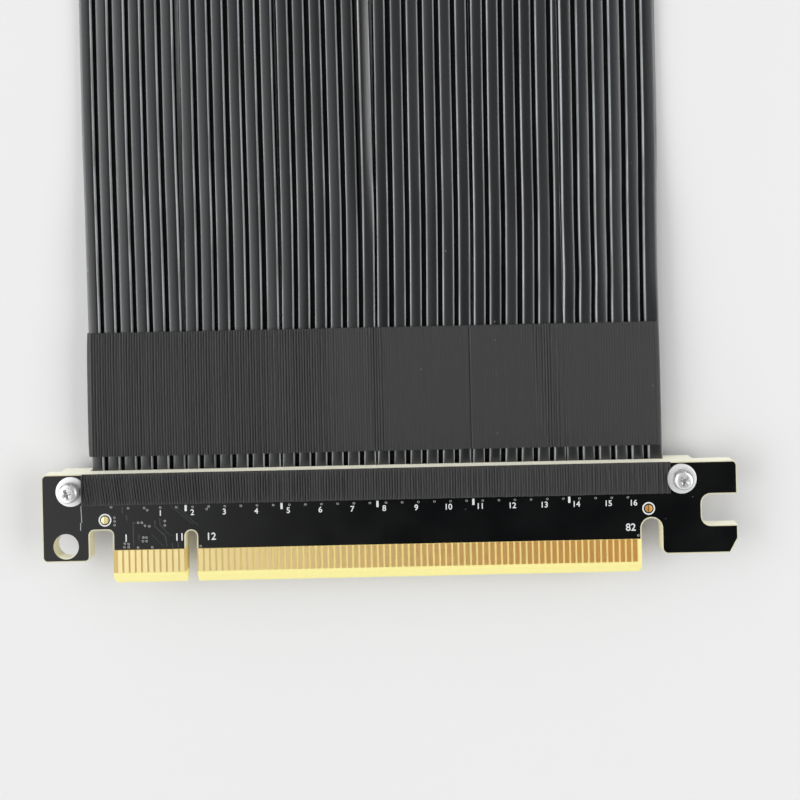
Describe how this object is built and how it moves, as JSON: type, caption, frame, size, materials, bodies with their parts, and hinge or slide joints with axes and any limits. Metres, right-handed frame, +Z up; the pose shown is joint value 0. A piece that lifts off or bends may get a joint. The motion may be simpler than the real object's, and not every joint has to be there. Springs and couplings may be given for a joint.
{
  "type": "expansion card extension cable",
  "caption": "Flat ribbon cable with a notched card-edge plug board at one end and an upright card slot at the other, to set an expansion card away from its socket.",
  "frame": {"origin": "under the middle of the two boards' box, on the surface that the part rests on", "axes": "+X along the card edge, +Y from the plug to the slot, +Z up out of the boards"},
  "size_m": [0.1122, 0.1878, 0.016],
  "materials": {
    "solder_mask": "black solder mask over glass-fibre laminate",
    "gold_plating": "thin gold plating",
    "spring_gold": "gold-flashed spring",
    "nickel_steel": "bright nickel plate",
    "acetate_tape": "ribbed acetate cloth tape, matte",
    "slot_plastic": "moulded glass-filled plastic",
    "cable_jacket": "satin black ribbon jacket"
  },
  "bodies": {
    "root": {"plug_board": "solder_mask", "slot_board": "solder_mask", "plug_clamp_board": "solder_mask", "slot_clamp_board": "solder_mask", "plug_contacts_front": "gold_plating", "plug_contacts_back": "gold_plating", "plug_test_points": "gold_plating", "slot_contacts_near": "spring_gold", "slot_contacts_far": "spring_gold", "plug_clamp_screws": "nickel_steel", "slot_clamp_screws": "nickel_steel", "plug_clamp_washers": "nickel_steel", "slot_clamp_washers": "nickel_steel", "plug_clamp_nuts": "nickel_steel", "slot_clamp_nuts": "nickel_steel", "plug_solder_tape": "acetate_tape", "slot_solder_tape": "acetate_tape", "plug_cable_wrap": "acetate_tape", "slot_cable_wrap": "acetate_tape", "slot_housing": "slot_plastic", "ribbon_1": "cable_jacket", "ribbon_2": "cable_jacket", "ribbon_3": "cable_jacket", "ribbon_4": "cable_jacket", "ribbon_5": "cable_jacket", "ribbon_6": "cable_jacket"}
  },
  "joints": []
}
